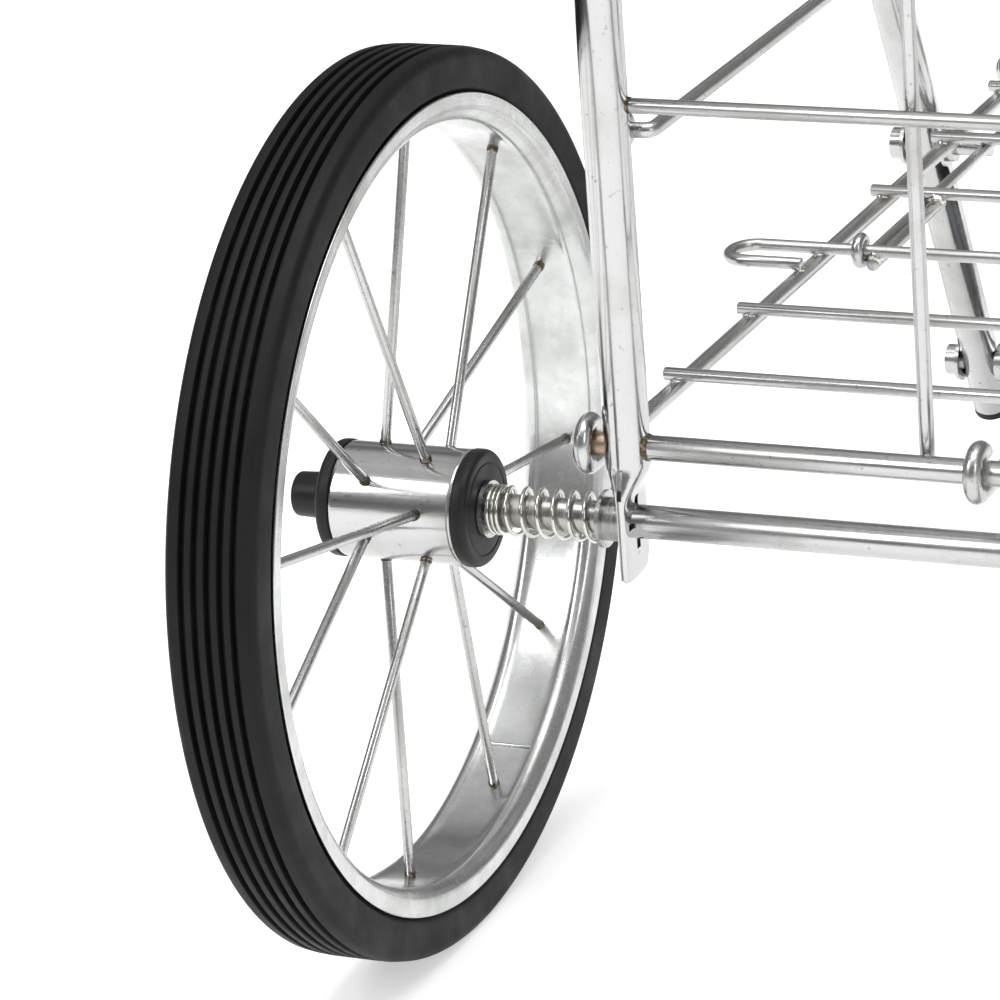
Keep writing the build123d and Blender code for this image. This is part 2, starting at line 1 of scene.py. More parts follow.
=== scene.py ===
# %% [markdown]
# # A folding wire shopping cart
# The cart is steel tube and wire under bright plate, with two large spoked wheels
# behind and two small wheels in front. Shiny round bar shows nothing of its own: it
# shows what it reflects, and where it was cut, bent and welded. So this lesson spends
# its effort on smooth surfaces, on the small marks of making, and on the light.
#
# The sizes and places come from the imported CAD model, which is loaded first.

# %% Load the frame
import json
import math
import random

import bmesh
import bpy
import numpy as np
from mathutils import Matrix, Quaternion, Vector


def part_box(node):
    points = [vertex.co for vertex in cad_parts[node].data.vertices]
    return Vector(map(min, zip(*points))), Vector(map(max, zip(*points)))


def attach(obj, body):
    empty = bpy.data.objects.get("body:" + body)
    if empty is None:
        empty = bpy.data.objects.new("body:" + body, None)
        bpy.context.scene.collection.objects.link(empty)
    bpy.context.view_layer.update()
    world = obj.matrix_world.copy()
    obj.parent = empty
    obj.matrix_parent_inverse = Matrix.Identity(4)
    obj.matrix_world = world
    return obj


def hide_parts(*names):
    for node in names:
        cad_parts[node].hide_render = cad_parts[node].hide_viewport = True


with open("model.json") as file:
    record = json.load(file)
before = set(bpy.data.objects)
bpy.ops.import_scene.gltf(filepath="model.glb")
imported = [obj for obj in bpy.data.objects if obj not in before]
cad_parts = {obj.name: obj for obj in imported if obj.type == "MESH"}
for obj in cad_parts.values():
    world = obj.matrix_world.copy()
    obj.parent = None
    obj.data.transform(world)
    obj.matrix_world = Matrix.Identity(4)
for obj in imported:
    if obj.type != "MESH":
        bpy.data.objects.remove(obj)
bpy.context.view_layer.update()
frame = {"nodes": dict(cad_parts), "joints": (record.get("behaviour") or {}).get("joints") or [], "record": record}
MM = 0.001
random.seed(7)

# %% [markdown]
# A few places serve all the pieces: the rear axle, the two wheel centres and the pins.
# Each joint of the CAD model carries the place of its pin, so nothing is typed twice.

# %% Places
PINS = {joint["name"]: Vector(joint["pos_m"]) for joint in frame["joints"] if "pos_m" in joint}
AXLE = PINS["left_rear_wheel_spin"]
SIDES = (("left", -1), ("right", 1))


def middle(node):
    low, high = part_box(node)
    return (low + high) / 2


HUB = {side: middle(f"{side}_rear_tyre") for side, _ in SIDES}
print("rear axle at", tuple(AXLE), "wheels at x", [round(HUB[s].x, 4) for s, _ in SIDES])

# %% [markdown]
# ## The camera
# It stands to the left and behind, above the axle, and looks down along the left wheel
# with a long lens. A long lens keeps parallel wires nearly parallel. The camera is
# placed from the left wheel's centre and turned by yaw, pitch and a small roll.

# %% Camera
YAW, PITCH, ROLL = (math.radians(a) for a in (24.694, -20.2, -4.353))
look = Vector((-math.sin(YAW) * math.cos(PITCH), math.cos(YAW) * math.cos(PITCH), math.sin(PITCH)))
camera = bpy.data.objects.new("camera", bpy.data.cameras.new("camera"))
camera.location = HUB["left"] + Vector((0.5809, -1.2049, 0.4908))
camera.rotation_mode = "QUATERNION"
camera.rotation_quaternion = look.to_track_quat("-Z", "Y") @ Quaternion((0, 0, 1), ROLL)
camera.data.lens = 184.69
camera.data.sensor_width = 36.0
camera.data.clip_start = 0.05
bpy.context.scene.collection.objects.link(camera)
bpy.context.scene.camera = camera
print("camera at", tuple(round(v, 4) for v in camera.location))

# %% [markdown]
# ## Light
# Plate reflects the whole room, so the room is built for it: a pale floor, a sky in
# bands of grey like a studio's walls, and, out of the camera's sight, dark cards. The
# cards give the tubes the dark lines along their edges that make round metal read as
# round.

# %% Light and floor
def area_light(name, place, aim, size, power):
    light = bpy.data.lights.new(name, "AREA")
    light.shape = "RECTANGLE"
    light.size, light.size_y = size
    light.energy = power
    lamp = bpy.data.objects.new(name, light)
    lamp.location = place
    lamp.rotation_mode = "QUATERNION"
    lamp.rotation_quaternion = (Vector(aim) - Vector(place)).to_track_quat("-Z", "Y")
    bpy.context.scene.collection.objects.link(lamp)


def plain_material(name, color, glow):
    material = bpy.data.materials.new(name)
    material.use_nodes = True
    shader = material.node_tree.nodes["Principled BSDF"]
    shader.inputs["Base Color"].default_value = (*color, 1)
    shader.inputs["Roughness"].default_value = 0.9
    shader.inputs["Specular IOR Level"].default_value = 0.0
    shader.inputs["Emission Color"].default_value = (1, 1, 1, 1)
    shader.inputs["Emission Strength"].default_value = glow
    return material


def card(name, corners, material, seen):
    mesh = bpy.data.meshes.new(name)
    mesh.from_pydata(corners, [], [(0, 1, 2, 3)])
    mesh.materials.append(material)
    board = bpy.data.objects.new(name, mesh)
    board.visible_camera = seen
    board.visible_shadow = seen
    board.visible_diffuse = seen
    bpy.context.scene.collection.objects.link(board)


def upright_card(name, x, y, width, turn, low, high, material):
    across = Vector((math.cos(math.radians(turn)), math.sin(math.radians(turn)), 0)) * width / 2
    foot = Vector((x, y, 0))
    corners = [foot - across, foot + across, foot + across, foot - across]
    heights = (low, low, high, high)
    card(name, [(c.x, c.y, z) for c, z in zip(corners, heights)], material, False)


FLOOR = 30.0
floor_paint = plain_material("pale_floor", (0.86, 0.86, 0.855), 0.50)
card("floor", [(-FLOOR, -FLOOR, 0), (FLOOR, -FLOOR, 0), (FLOOR, FLOOR, 0), (-FLOOR, FLOOR, 0)],
     floor_paint, True)
dark_card = plain_material("dark_card", (0.03, 0.03, 0.032), 0.0)
grey_card = plain_material("grey_card", (0.25, 0.25, 0.25), 0.0)
upright_card("card_left", -1.7, -0.7, 0.55, 70, 0.05, 2.4, dark_card)
upright_card("card_right", 1.9, -0.9, 0.45, 120, 0.05, 2.4, dark_card)
upright_card("card_back", 0.9, 2.2, 0.6, 15, 0.1, 2.2, grey_card)
upright_card("card_front", -0.4, -2.9, 0.5, 0, 0.6, 2.6, grey_card)

# The sky's grey by height, from the horizon to straight up.
SKY_BANDS = ((0.0, 0.60), (0.06, 0.42), (0.22, 0.24), (0.38, 0.50), (0.55, 0.20), (0.75, 0.85), (1.0, 0.95))

world = bpy.data.worlds.new("studio")
bpy.context.scene.world = world
world.use_nodes = True
sky = world.node_tree.nodes["Background"]
sky.inputs["Strength"].default_value = 0.7
direction = world.node_tree.nodes.new("ShaderNodeTexCoord")
height = world.node_tree.nodes.new("ShaderNodeSeparateXYZ")
bands = world.node_tree.nodes.new("ShaderNodeValToRGB")
while len(bands.color_ramp.elements) < len(SKY_BANDS):
    bands.color_ramp.elements.new(0.5)
for element, (place, grey) in zip(bands.color_ramp.elements, SKY_BANDS):
    element.position = place
    element.color = (grey, grey, grey, 1)
world.node_tree.links.new(direction.outputs["Generated"], height.inputs["Vector"])
world.node_tree.links.new(height.outputs["Z"], bands.inputs["Fac"])
world.node_tree.links.new(bands.outputs["Color"], sky.inputs["Color"])
area_light("ceiling", (0.1, -0.3, 2.4), (0, 0, 0.3), (2.0, 1.4), 34)
area_light("key", (-1.6, -1.7, 1.9), (0, 0, 0.2), (0.7, 1.3), 20)
area_light("fill", (1.8, -1.2, 1.2), (0, 0, 0.2), (0.5, 1.2), 9)
bpy.context.scene.view_settings.view_transform = "Standard"
print("lights and cards are in place")

# %% [markdown]
# ## Finishes
# Each finish is a chain of nodes on one shader. Colour, roughness and bump each get a
# share of the same noises, because on real metal a dull patch is also a rougher one.
# Textures use object coordinates: a piece's object stands at the model's origin, so
# the pattern has its real scale everywhere.

# %% Helpers for finishes
def wire_up(material):
    tree = material.node_tree
    return tree.nodes, tree.links


def start_finish(name, color, metallic, roughness):
    material = bpy.data.materials.new(name)
    material.use_nodes = True
    nodes, links = wire_up(material)
    shader = nodes["Principled BSDF"]
    shader.inputs["Base Color"].default_value = (*color, 1)
    shader.inputs["Metallic"].default_value = metallic
    shader.inputs["Roughness"].default_value = roughness
    return material, shader


def mapped(material, stretch=(1, 1, 1), turn=(0, 0, 0), place=(0, 0, 0)):
    """Object coordinates, stretched, turned and moved."""
    nodes, links = wire_up(material)
    coordinates = nodes.new("ShaderNodeTexCoord")
    mapping = nodes.new("ShaderNodeMapping")
    mapping.inputs["Location"].default_value = place
    mapping.inputs["Rotation"].default_value = turn
    mapping.inputs["Scale"].default_value = stretch
    links.new(coordinates.outputs["Object"], mapping.inputs["Vector"])
    return mapping.outputs["Vector"]


def noise(material, vector, scale, detail=4.0, rough=0.55):
    nodes, links = wire_up(material)
    texture = nodes.new("ShaderNodeTexNoise")
    texture.inputs["Scale"].default_value = scale
    texture.inputs["Detail"].default_value = detail
    texture.inputs["Roughness"].default_value = rough
    links.new(vector, texture.inputs["Vector"])
    return texture.outputs["Fac"]


def cells(material, vector, scale):
    nodes, links = wire_up(material)
    texture = nodes.new("ShaderNodeTexVoronoi")
    texture.inputs["Scale"].default_value = scale
    links.new(vector, texture.inputs["Vector"])
    return texture.outputs["Color"]


def rings(material, vector, scale, distortion=1.0):
    nodes, links = wire_up(material)
    texture = nodes.new("ShaderNodeTexWave")
    texture.wave_type = "RINGS"
    texture.rings_direction = "X"
    texture.inputs["Scale"].default_value = scale
    texture.inputs["Distortion"].default_value = distortion
    texture.inputs["Detail"].default_value = 2.0
    links.new(vector, texture.inputs["Vector"])
    return texture.outputs["Fac"]


def ramp(material, source, stops):
    """Colours or greys by the source's value."""
    nodes, links = wire_up(material)
    node = nodes.new("ShaderNodeValToRGB")
    elements = node.color_ramp.elements
    while len(elements) < len(stops):
        elements.new(0.5)
    for element, (place, color) in zip(elements, stops):
        element.position = place
        element.color = (*color, 1) if isinstance(color, tuple) else (color, color, color, 1)
    links.new(source, node.inputs["Fac"])
    return node.outputs["Color"]


def mix(material, factor, first, second, blend="MIX"):
    nodes, links = wire_up(material)
    node = nodes.new("ShaderNodeMix")
    node.data_type = "RGBA"
    node.blend_type = blend
    for name, value in (("Factor", factor), ("A", first), ("B", second)):
        target = next(s for s in node.inputs if s.name == name and s.enabled)
        if isinstance(value, (int, float)):
            target.default_value = value
        elif isinstance(value, tuple):
            target.default_value = (*value, 1)
        else:
            links.new(value, target)
    return next(s for s in node.outputs if s.enabled)


def bump(material, shader, layers):
    """Stacks bumps of (height source, depth in metres, strength) on the shader."""
    nodes, links = wire_up(material)
    normal = None
    for source, depth, strength in layers:
        node = nodes.new("ShaderNodeBump")
        node.inputs["Distance"].default_value = depth
        node.inputs["Strength"].default_value = strength
        links.new(source, node.inputs["Height"])
        if normal:
            links.new(normal, node.inputs["Normal"])
        normal = node.outputs["Normal"]
    links.new(normal, shader.inputs["Normal"])


def feed(material, source, socket):
    material.node_tree.links.new(source, socket)


print("finish helpers are ready")

# %% [markdown]
# Bright plate over drawn steel is the cart's main finish. Drawing leaves long faint
# lines along a bar, and the plate over them is a little cloudy and in places straw
# coloured. The lines run along each bar, so the finish is made once for each direction
# that the cart's bars take.

# %% Bright plate
ALONG = {
    "x": ((0.04, 1, 1), (0, 0, 0)),
    "y": ((1, 0.04, 1), (0, 0, 0)),
    "z": ((1, 1, 0.04), (0, 0, 0)),
    "slant": ((1, 1, 0.04), (math.radians(-26.5), 0, 0)),
    "any": ((1, 1, 1), (0, 0, 0)),
}


def plate(name, along, bright=0.56, dull=0.43, low=0.17, high=0.33, tint=(1.0, 0.98, 0.945)):
    material, shader = start_finish(name, (bright,) * 3, 1.0, low)
    everywhere = mapped(material)
    stretch, turn = ALONG[along]
    drawn = mapped(material, stretch, turn)
    cloud = noise(material, everywhere, 26, 5)
    lines = noise(material, drawn, 700, 3)
    specks = noise(material, everywhere, 520, 3, 0.7)
    clear = tuple(bright * t for t in (0.995, 1.0, 1.0))
    clouded = tuple(dull * t for t in tint)
    color = ramp(material, cloud, [(0.44, clear), (0.72, clouded)])
    pits = ramp(material, specks, [(0.30, 0.45), (0.37, 1.0)])
    color = mix(material, 0.7, color, pits, "MULTIPLY")
    feed(material, color, shader.inputs["Base Color"])
    rough = ramp(material, cloud, [(0.35, low), (0.72, high)])
    streaks = ramp(material, lines, [(0.35, 0.0), (0.75, 0.10)])
    rough = mix(material, 1.0, rough, streaks, "ADD")
    feed(material, rough, shader.inputs["Roughness"])
    wave = noise(material, everywhere, 55, 1)
    bump(material, shader, [(wave, 0.0012, 0.10), (lines, 0.00006, 0.35), (specks, 0.0001, 0.10)])
    return material


PLATE = {along: plate(f"bright_plate_{along}", along) for along in ALONG}
TUBE_PLATE = {a: plate(f"tube_plate_{a}", a, 0.57, 0.44, 0.09, 0.20) for a in ALONG}
print("plate in", len(PLATE) + len(TUBE_PLATE), "finishes")

# %% [markdown]
# The rims are rolled from zinc-plated sheet. They are duller than the bar: a satin skin
# with a faint spangle of crystals, cloudy smears, and fine lines round the wheel from
# the rolls. The rings are a wave texture centred on the axle.

# %% Rim zinc
def rim_zinc(side):
    material, shader = start_finish(f"{side}_rim_zinc", (0.76, 0.77, 0.77), 1.0, 0.26)
    here = mapped(material)
    centred = mapped(material, place=tuple(-HUB[side]))
    smear = noise(material, here, 34, 6, 0.62)
    crystal = cells(material, here, 260)
    rolled = rings(material, centred, 260, 1.5)
    base = ramp(material, smear, [(0.36, (0.70, 0.71, 0.705)), (0.58, (0.58, 0.59, 0.58)),
                                  (0.78, (0.41, 0.42, 0.405))])
    shade = ramp(material, crystal, [(0.0, 0.90), (1.0, 1.0)])
    base = mix(material, 1.0, base, shade, "MULTIPLY")
    feed(material, base, shader.inputs["Base Color"])
    rough = ramp(material, smear, [(0.35, 0.17), (0.75, 0.40)])
    feed(material, rough, shader.inputs["Roughness"])
    bump(material, shader, [(smear, 0.0008, 0.12), (rolled, 0.00005, 0.25), (crystal, 0.00008, 0.10)])
    return material


RIM_ZINC = {side: rim_zinc(side) for side, _ in SIDES}

# %% [markdown]
# The tyres are solid black rubber. Fresh from the mould they are matte, with a fine
# grain, faint rings from the turned mould, and grey dust that stays on the worn crown.

# %% Rubber
def rubber(name, centre):
    material, shader = start_finish(name, (0.018, 0.018, 0.019), 0.0, 0.6)
    here = mapped(material)
    centred = mapped(material, place=tuple(-centre))
    grain = noise(material, here, 1500, 3, 0.7)
    scuff = noise(material, here, 60, 6, 0.65)
    mould = rings(material, centred, 190, 0.6)
    base = ramp(material, scuff, [(0.38, (0.0060, 0.0060, 0.0062)), (0.60, (0.0100, 0.0100, 0.0103)),
                                  (0.80, (0.0190, 0.0185, 0.0175))])
    fine = ramp(material, grain, [(0.25, 0.72), (0.75, 1.0)])
    base = mix(material, 1.0, base, fine, "MULTIPLY")
    feed(material, base, shader.inputs["Base Color"])
    rough = ramp(material, scuff, [(0.3, 0.46), (0.75, 0.74)])
    feed(material, rough, shader.inputs["Roughness"])
    shader.inputs["Specular IOR Level"].default_value = 0.22
    bump(material, shader, [(grain, 0.00012, 0.35), (mould, 0.00005, 0.3), (scuff, 0.0004, 0.10)])
    print(name, "is centred on", tuple(round(c, 4) for c in centre))
    return material


# %% [markdown]
# The bushes, caps and plugs are moulded black plastic: an even fine grain, slightly
# glossy where handled. The small wheels' centres are the same in grey. The grip is a
# foam sleeve, so its grain is coarse and open.

# %% Plastics, foam and plain steels
def moulded(name, dark, light, low, high, grain_scale, grain_depth):
    material, shader = start_finish(name, dark, 0.0, low)
    here = mapped(material)
    grain = noise(material, here, grain_scale, 3, 0.6)
    patch = noise(material, here, 90, 4)
    base = ramp(material, patch, [(0.35, dark), (0.70, light)])
    shade = ramp(material, grain, [(0.30, 0.78), (0.60, 1.0)])
    feed(material, mix(material, 1.0, base, shade, "MULTIPLY"), shader.inputs["Base Color"])
    feed(material, ramp(material, patch, [(0.35, low), (0.70, high)]), shader.inputs["Roughness"])
    shader.inputs["Specular IOR Level"].default_value = 0.3
    bump(material, shader, [(grain, grain_depth, 0.4), (patch, 0.0006, 0.08)])
    return material


def turned_steel(name, color, low, high):
    material, shader = start_finish(name, color, 1.0, low)
    here = mapped(material)
    across = mapped(material, (1, 0.05, 0.05))
    marks = noise(material, across, 1300, 2)
    patch = noise(material, here, 70, 5)
    darker = tuple(c * 0.62 for c in color)
    base = ramp(material, patch, [(0.40, color), (0.75, darker)])
    shade = ramp(material, marks, [(0.30, 0.70), (0.62, 1.0)])
    feed(material, mix(material, 0.8, base, shade, "MULTIPLY"), shader.inputs["Base Color"])
    feed(material, ramp(material, marks, [(0.3, low), (0.8, high)]), shader.inputs["Roughness"])
    bump(material, shader, [(marks, 0.00005, 0.5)])
    return material


BLACK = moulded("black_moulding", (0.008, 0.008, 0.0085), (0.016, 0.016, 0.0165), 0.40, 0.58, 1400, 0.0001)
FOAM = moulded("grip_foam", (0.012, 0.012, 0.013), (0.024, 0.024, 0.025), 0.75, 0.92, 520, 0.0008)
GREY = moulded("grey_moulding", (0.26, 0.27, 0.29), (0.33, 0.34, 0.36), 0.35, 0.5, 1100, 0.0001)
STEEL = turned_steel("turned_steel", (0.52, 0.51, 0.49), 0.20, 0.42)
SPRING = turned_steel("spring_wire", (0.78, 0.77, 0.73), 0.10, 0.22)
print("plastics and steels are ready")

# %% [markdown]
# A weld leaves a small lump, and the heat leaves colours: straw, brown, and a blue-grey
# edge. They are thin films on metal, so they are metallic colours and not paint.

# %% Weld metal
def weld_metal(name, stops, rough):
    material, shader = start_finish(name, stops[0], 1.0, rough)
    here = mapped(material)
    heat = noise(material, here, 420, 4, 0.6)
    fine = noise(material, here, 1900, 2)
    places = (0.34, 0.50, 0.64)
    feed(material, ramp(material, heat, list(zip(places, stops))), shader.inputs["Base Color"])
    feed(material, ramp(material, heat, [(0.3, rough), (0.7, rough + 0.22)]), shader.inputs["Roughness"])
    bump(material, shader, [(heat, 0.0003, 0.35), (fine, 0.0001, 0.4)])
    return material


BURNT = weld_metal("burnt_weld", [(0.22, 0.15, 0.09), (0.09, 0.06, 0.04), (0.40, 0.35, 0.28)], 0.30)
SHINY_WELD = weld_metal("plated_weld", [(0.78, 0.77, 0.74), (0.60, 0.57, 0.52), (0.82, 0.82, 0.81)], 0.10)
COPPER = weld_metal("copper_stub", [(0.56, 0.43, 0.33), (0.44, 0.33, 0.25), (0.62, 0.53, 0.44)], 0.28)
print("weld finishes are ready")

# %% [markdown]
# ## Shapes
# Nearly every piece is a bar swept along a route or an outline turned about the axle.
# Both are short loops that lay rings of points and join them with quads. The rings are
# laid evenly, so that reflections run over the bar without a kink.

# %% Helpers for shapes
def unit(vector):
    return vector / np.linalg.norm(vector)


def bent(points, bend, steps=8):
    """A route through the points, with each corner rounded to an arc."""
    points = [np.array(p, float) for p in points]
    route = [points[0]]
    for before, corner, after in zip(points, points[1:], points[2:]):
        back, ahead = unit(before - corner), unit(after - corner)
        half = math.acos(np.clip(back @ ahead, -1, 1)) / 2
        centre = corner + unit(back + ahead) * bend / math.sin(half)
        first = corner + back * bend / math.tan(half) - centre
        last = corner + ahead * bend / math.tan(half) - centre
        turn = math.acos(np.clip(first @ last / bend ** 2, -1, 1))
        for i in range(steps + 1):
            share = i / steps
            arm = first * math.sin((1 - share) * turn) + last * math.sin(share * turn)
            route.append(centre + arm / math.sin(turn))
    route.append(points[-1])
    return route


def about_pin(x, pin, radius, start, turn, steps=24):
    """Points on an arc about a pin that lies along X; angles in degrees from +Y."""
    angles = [math.radians(start + turn * i / steps) for i in range(steps + 1)]
    return [(x, pin.y + radius * math.cos(a), pin.z + radius * math.sin(a)) for a in angles]


def ringed(rings_of_points):
    """Joins rings of points with quads, and closes both ends."""
    count = len(rings_of_points[0])
    points = [p for ring in rings_of_points for p in ring]
    faces = []
    for i in range(len(rings_of_points) - 1):
        for k in range(count):
            n = (k + 1) % count
            faces.append((i * count + k, i * count + n, (i + 1) * count + n, (i + 1) * count + k))
    faces.append(tuple(range(count))[::-1])
    faces.append(tuple(range(len(points) - count, len(points))))
    return points, faces


def bar(route, radius, ring=24, crush=0.22):
    """A round bar along a route, its cut ends slightly rounded over."""
    route = [np.array(p, float) for p in route]
    start, end = unit(route[1] - route[0]), unit(route[-2] - route[-1])
    edge = crush * radius
    stations = [(route[0], 1 - crush), (route[0] + start * edge * 0.3, 1 - crush * 0.3)]
    stations += [(route[0] + start * edge, 1.0)] + [(p, 1.0) for p in route[1:-1]]
    stations += [(route[-1] + end * edge, 1.0), (route[-1] + end * edge * 0.3, 1 - crush * 0.3)]
    stations.append((route[-1], 1 - crush))
    places = [p for p, _ in stations]
    across = None
    laid = []
    for i, (place, share) in enumerate(stations):
        tangent = unit(places[min(i + 1, len(places) - 1)] - places[max(i - 1, 0)])
        if across is None:
            across = np.cross(tangent, (0.31, 0.52, 0.79))
        across = unit(across - tangent * (across @ tangent))
        other = np.cross(tangent, across)
        angles = [2 * math.pi * k / ring for k in range(ring)]
        laid.append([place + radius * share * (across * math.cos(a) + other * math.sin(a)) for a in angles])
    return ringed(laid)


def rounded(outline, steps=4):
    """An outline of (radius, x, rounding) with its corners rounded."""
    made = []
    for i, (r, x, rounding) in enumerate(outline):
        corner = np.array((r, x), float)
        if not rounding:
            made.append(corner)
            continue
        before = np.array(outline[i - 1][:2], float)
        after = np.array(outline[(i + 1) % len(outline)][:2], float)
        back, ahead = before - corner, after - corner
        first = corner + unit(back) * min(rounding, np.linalg.norm(back) * 0.49)
        last = corner + unit(ahead) * min(rounding, np.linalg.norm(ahead) * 0.49)
        for k in range(steps + 1):
            t = k / steps
            made.append(first * (1 - t) ** 2 + corner * 2 * t * (1 - t) + last * t ** 2)
    return made


def turned(outline, centre, steps=128, sign=1):
    """Turns a closed outline in millimetres about the X axis through centre."""
    shape = rounded(outline)
    count = len(shape)
    points, faces = [], []
    for k in range(steps):
        a = 2 * math.pi * k / steps
        points += [(centre[0] + sign * x * MM, centre[1] + r * MM * math.cos(a),
                    centre[2] + r * MM * math.sin(a)) for r, x in shape]
    for k in range(steps):
        n = (k + 1) % steps
        for i in range(count):
            j = (i + 1) % count
            faces.append((k * count + i, k * count + j, n * count + j, n * count + i))
    return points, faces


def bead(place, size, rough=0.12):
    """A lump of weld metal: a ball with an uneven skin."""
    rows, columns = 9, 16
    laid = []
    for i in range(rows):
        lift = math.pi * (i + 0.5) / rows
        ring = []
        for k in range(columns):
            a = 2 * math.pi * k / columns
            swell = 1 + random.uniform(-rough, rough)
            ring.append((place[0] + size[0] * math.sin(lift) * math.cos(a) * swell,
                         place[1] + size[1] * math.sin(lift) * math.sin(a) * swell,
                         place[2] + size[2] * math.cos(lift) * swell))
        laid.append(ring)
    return ringed(laid)


BODY_OF = {node: body for body, nodes in frame["record"]["behaviour"]["bodies"].items() for node in nodes}


def piece(name, parts, node, material, stands_for=(), sharp=38):
    """One object from several closed shapes, riding and finished like a CAD node."""
    points, faces = [], []
    for part_points, part_faces in parts:
        offset = len(points)
        points += [tuple(p) for p in part_points]
        faces += [tuple(i + offset for i in face) for face in part_faces]
    mesh = bpy.data.meshes.new(name)
    mesh.from_pydata(points, [], faces)
    work = bmesh.new()
    work.from_mesh(mesh)
    bmesh.ops.remove_doubles(work, verts=work.verts, dist=0.000002)
    bmesh.ops.dissolve_degenerate(work, edges=work.edges, dist=0.000001)
    bmesh.ops.recalc_face_normals(work, faces=work.faces)
    work.to_mesh(mesh)
    work.free()
    mesh.materials.append(material)
    mesh.polygons.foreach_set("use_smooth", [True] * len(mesh.polygons))
    mesh.set_sharp_from_angle(angle=math.radians(sharp))
    made = bpy.data.objects.new(name, mesh)
    bpy.context.scene.collection.objects.link(made)
    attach(made, BODY_OF[node])
    if stands_for:
        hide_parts(*stands_for)
    print(name, len(mesh.vertices), "points")
    return made


# %% [markdown]
# The CAD model knows where each straight wire lies. Its mesh is split into its separate
# solids here, and each solid gives two ends and a radius, so that the smooth bars drawn
# over them can't drift from the design.

# %% Reading bars from the frame
def solids(node):
    """The corner points of each separate solid in a CAD node."""
    mesh = frame["nodes"][node].data
    flat = np.empty(len(mesh.vertices) * 3)
    mesh.vertices.foreach_get("co", flat)
    corners, place = np.unique(np.round(flat.reshape(-1, 3), 6), axis=0, return_inverse=True)
    place = place.ravel().tolist()
    parent = list(range(len(corners)))

    def root(i):
        while parent[i] != i:
            parent[i] = parent[parent[i]]
            i = parent[i]
        return i

    for edge in mesh.edges:
        a, b = edge.vertices
        parent[root(place[a])] = root(place[b])
    groups = {}
    for i, corner in enumerate(corners):
        groups.setdefault(root(i), []).append(corner)
    return [np.array(group) for group in groups.values()]


def straight(corners):
    """Ends and radius of a straight round bar."""
    centre = (corners.min(axis=0) + corners.max(axis=0)) / 2
    offsets = corners - centre
    axis = np.linalg.svd(offsets - offsets.mean(axis=0), full_matrices=False)[2][0]
    along = offsets @ axis
    radius = np.linalg.norm(offsets - np.outer(along, axis), axis=1).max()
    return centre + axis * along.min(), centre + axis * along.max(), radius


def straight_bars(node):
    """(end, end, radius) of each solid in a node of straight bars."""
    return [straight(corners) for corners in solids(node)]


def draw_bars(node, material, ring=24):
    found = straight_bars(node)
    piece(f"{node}_drawn", [bar([a, b], r, ring) for a, b, r in found], node, material, [node])
    return found


# %% [markdown]
# ## Rear wheels
# The tyre is one turned outline. Five grooves run round the tread, and their edges are
# rounded a little, because moulded rubber has no sharp edge and the rounding catches
# the light as a fine line.

# %% Rear tyres
def tyre_outline(radius, half):
    groove, depth, soft = 0.95, 2.5, 0.3
    pitch = (2 * half - 4.0) / 6
    outline = [(108.2, -11.7, 0), (114.5, -11.7, 0.2), (115.7, -half + 0.15, 0.7), (119.0, -half, 2.0),
               (radius - 2.6, -half + 0.05, 0.9), (radius - 0.55, -half + 1.4, 0.9)]
    for i in range(-2, 3):
        crown = radius if i != -2 else radius - 0.1
        middle_x = i * pitch
        outline += [(crown, middle_x - groove, soft), (radius - depth, middle_x - groove * 0.8, soft),
                    (radius - depth, middle_x + groove * 0.8, soft), (radius, middle_x + groove, soft)]
    outline += [(radius - 0.55, half - 1.4, 0.9), (radius - 2.6, half - 0.05, 0.9), (119.0, half, 2.0),
                (115.7, half - 0.15, 0.7), (114.5, 11.7, 0.2), (108.2, 11.7, 0)]
    return outline


for side, sign in SIDES:
    low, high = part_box(f"{side}_rear_tyre")
    radius, half = (high.z - low.z) / 2 / MM, (high.x - low.x) / 2 / MM
    rubber_here = rubber(f"{side}_tyre_rubber", HUB[side])
    shape = turned(tyre_outline(radius, half), HUB[side], 256)
    piece(f"{side}_tyre", [shape], f"{side}_rear_tyre", rubber_here, [f"{side}_rear_tyre"], 50)

# %% [markdown]
# The rim is a rolled channel. Its lips stand up against the tyre as narrow bright
# rings, its shoulders are round, and the well between them is almost flat. The strip's
# ends meet in a ground butt weld, which shows as a low ridge across the well.

# %% Rims
def rim_outline(lip, half):
    half_outline = [(lip, half - 1.1, 0.5), (lip, half, 0.5), (110.2, half, 1.6), (106.9, half - 2.6, 1.6),
                    (106.3, half - 4.6, 1.0), (106.9, half - 6.2, 1.6)]
    hidden = [(107.9, half - 5.4, 1.0), (108.1, half - 1.5, 0.6)]
    right = half_outline[::-1]
    left = [(r, -x, s) for r, x, s in half_outline]
    return [(106.9, 0, 2.0)] + right + hidden[::-1] + [(107.9, 0, 0)] + \
        [(r, -x, s) for r, x, s in hidden] + left


for side, sign in SIDES:
    low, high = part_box(f"{side}_rear_rim")
    lip, half = (high.z - low.z) / 2 / MM, (high.x - low.x) / 2 / MM
    seam_angle, well_r = math.radians(-62), 106.75 * MM
    seam = [HUB[side] + Vector((x * MM, well_r * math.cos(seam_angle), well_r * math.sin(seam_angle)))
            for x in (-7.5, -4, 0, 4, 7.5)]
    piece(f"{side}_rim", [turned(rim_outline(lip, half), HUB[side], 256), bar(seam, 0.0006, 12)],
          f"{side}_rear_rim", RIM_ZINC[side], [f"{side}_rear_rim"], 60)

# %% [markdown]
# Twelve straight spokes stand in two rows, and each is welded at both ends. The heat
# leaves a brown collar at the hub and a dark spot at the rim.

